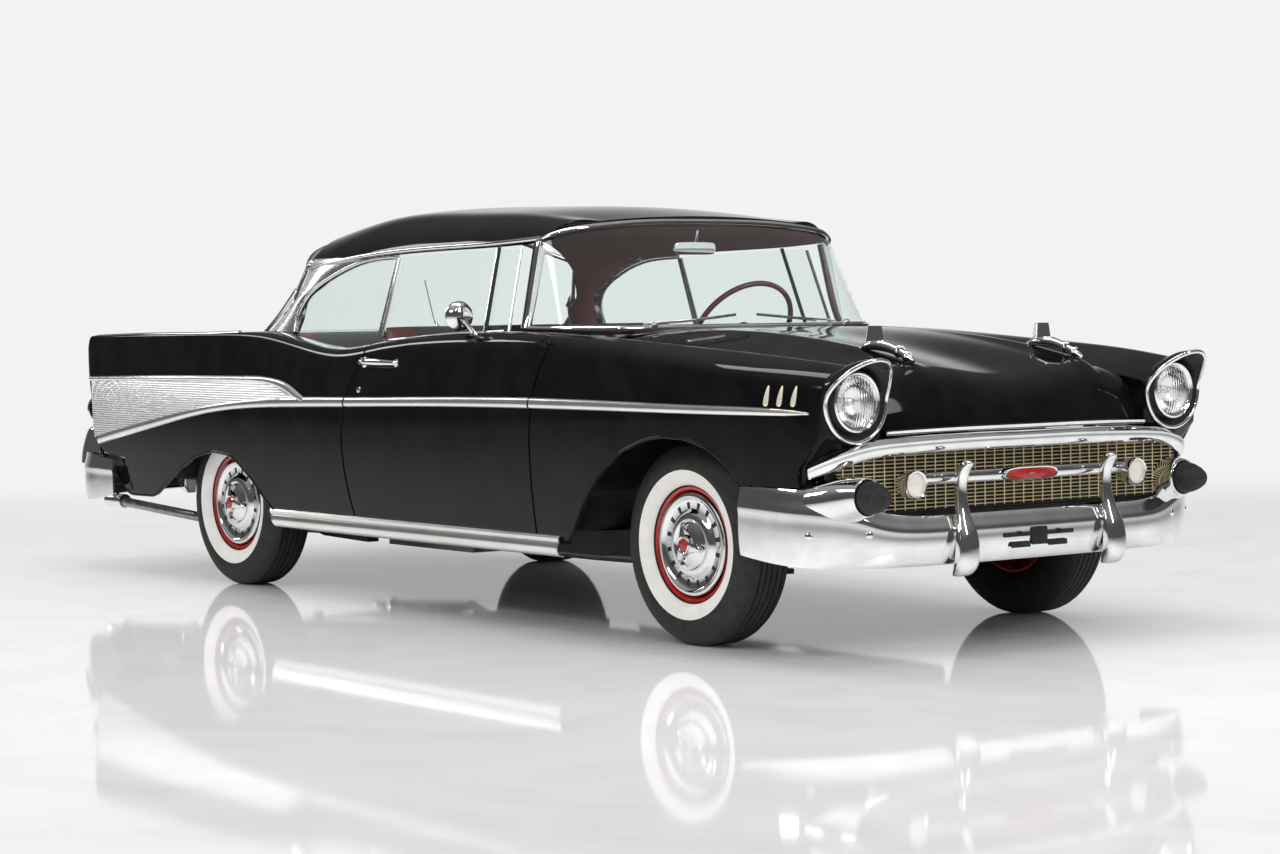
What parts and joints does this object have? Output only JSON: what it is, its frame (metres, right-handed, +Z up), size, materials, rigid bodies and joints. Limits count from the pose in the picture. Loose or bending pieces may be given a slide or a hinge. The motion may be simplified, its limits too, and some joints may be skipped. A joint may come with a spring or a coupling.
{
  "type": "two-door hardtop motor car of the late 1950s",
  "caption": "Full-size hardtop car with tail fins, wrap-around glass, chrome bumpers, opening doors, hood and boot lid, steering and rolling wheels.",
  "frame": {"origin": "on the ground under the middle of the car's box", "axes": "+X towards the front of the car, +Y its left side, +Z up"},
  "size_m": [5.07, 1.8826, 1.5051],
  "materials": {
    "black_paint": "gloss",
    "chrome": "polished",
    "glass": "clear",
    "lamp_glass": "fluted",
    "rubber": "matt",
    "grille_gold": "anodised",
    "chassis_black": "satin",
    "engine_iron": "painted",
    "bare_steel": "satin",
    "seat_cloth": "woven and vinyl",
    "dash_paint": "satin",
    "wheel_plastic": "gloss",
    "wheel_chrome": "polished",
    "tyre": "whitewall",
    "red_lens": "gloss",
    "side_trim_metal": "bright"
  },
  "bodies": {
    "body": {"antenna": "chrome", "boot_tub": "chassis_black", "bumper_tips": "rubber", "cowl": "black_paint", "dashboard": "dash_paint", "door_hinges": "chassis_black", "drive_shaft": "chassis_black", "engine": "engine_iron", "exhaust": "bare_steel", "floor_pan": "chassis_black", "frame": "chassis_black", "front_bumper": "chrome", "front_fender_left": "black_paint", "front_fender_right": "black_paint", "front_seat": "seat_cloth", "front_suspension": "chassis_black", "fuel_tank": "bare_steel", "grille": "grille_gold", "headlamp_bezels": "chrome", "headlamp_lenses": "lamp_glass", "inner_fenders": "chassis_black", "leaf_springs": "chassis_black", "parking_lamps": "lamp_glass", "quarter_glass": "glass", "quarter_panel_left": "black_paint", "quarter_panel_right": "black_paint", "radiator": "chassis_black", "rear_axle": "chassis_black", "rear_bumper": "chrome", "rear_deck": "black_paint", "rear_seat": "seat_cloth", "rear_window": "glass", "rocker_mouldings": "side_trim_metal", "roof": "black_paint", "side_trim": "side_trim_metal", "steering_column": "chassis_black", "tail_lamps": "red_lens", "windshield": "glass"},
    "door_left": {"door_left": "black_paint", "door_glass_left": "glass", "door_trim_left": "side_trim_metal"},
    "door_right": {"door_right": "black_paint", "door_glass_right": "glass", "door_mirror": "chrome", "door_trim_right": "side_trim_metal"},
    "hood": {"hood": "black_paint", "hood_trim": "chrome"},
    "boot_lid": {"boot_lid": "black_paint"},
    "knuckle_left": {"knuckle_left": "chassis_black"},
    "knuckle_right": {"knuckle_right": "chassis_black"},
    "wheel_front_left": {"wheel_front_left": "wheel_chrome", "tyre_front_left": "tyre"},
    "wheel_front_right": {"wheel_front_right": "wheel_chrome", "tyre_front_right": "tyre"},
    "wheel_rear_left": {"wheel_rear_left": "wheel_chrome", "tyre_rear_left": "tyre"},
    "wheel_rear_right": {"wheel_rear_right": "wheel_chrome", "tyre_rear_right": "tyre"},
    "steering_wheel": {"steering_wheel": "wheel_plastic"},
    "tie_rod": {"tie_rod": "chassis_black"}
  },
  "joints": [
    {"name": "door_left_swing", "type": "hinge", "parent": "body", "child": "door_left", "pos_m": [0.885, 0.915, 0.64], "axis": [0, 0, -1], "range_deg": [0, 65]},
    {"name": "door_right_swing", "type": "hinge", "parent": "body", "child": "door_right", "pos_m": [0.885, -0.915, 0.64], "axis": [0, 0, 1], "range_deg": [0, 65]},
    {"name": "hood_lift", "type": "hinge", "parent": "body", "child": "hood", "pos_m": [1.101, 0, 1.034], "axis": [0, -1, 0], "range_deg": [0, 50]},
    {"name": "boot_lid_lift", "type": "hinge", "parent": "body", "child": "boot_lid", "pos_m": [-1.464, 0, 1.012], "axis": [0, 1, 0], "range_deg": [0, 60]},
    {"name": "steering_wheel_turn", "type": "hinge", "parent": "body", "child": "steering_wheel", "pos_m": [0.52, 0.38, 1.02], "axis": [-0.8228, 0.0614, 0.5649], "range_deg": [-720, 720]},
    {"name": "steer_left", "type": "hinge", "parent": "body", "child": "knuckle_left", "pos_m": [1.675, 0.6505, 0.334], "axis": [0, 0, 1], "range_deg": [-30.01, 30.01]},
    {"name": "steer_right", "type": "hinge", "parent": "body", "child": "knuckle_right", "pos_m": [1.675, -0.6505, 0.334], "axis": [0, 0, 1], "range_deg": [-30.01, 30.01]},
    {"name": "tie_rod_slide", "type": "slide", "parent": "body", "child": "tie_rod", "axis": [0, -1, 0], "range_m": [-0.0525, 0.0525]},
    {"name": "wheel_front_left_spin", "type": "hinge", "parent": "knuckle_left", "child": "wheel_front_left", "pos_m": [1.675, 0.7365, 0.334], "axis": [0, 1, 0], "continuous": true},
    {"name": "wheel_front_right_spin", "type": "hinge", "parent": "knuckle_right", "child": "wheel_front_right", "pos_m": [1.675, -0.7365, 0.334], "axis": [0, 1, 0], "continuous": true},
    {"name": "wheel_rear_left_spin", "type": "hinge", "parent": "body", "child": "wheel_rear_left", "pos_m": [-1.246, 0.747, 0.334], "axis": [0, 1, 0], "continuous": true},
    {"name": "wheel_rear_right_spin", "type": "hinge", "parent": "body", "child": "wheel_rear_right", "pos_m": [-1.246, -0.747, 0.334], "axis": [0, 1, 0], "continuous": true}
  ],
  "couplings": [
    {"joint": "steer_left", "follows": "steering_wheel_turn", "ratio": 0.041667},
    {"joint": "steer_right", "follows": "steering_wheel_turn", "ratio": 0.041667},
    {"joint": "tie_rod_slide", "follows": "steering_wheel_turn", "m_per_rad": 0.004167}
  ]
}
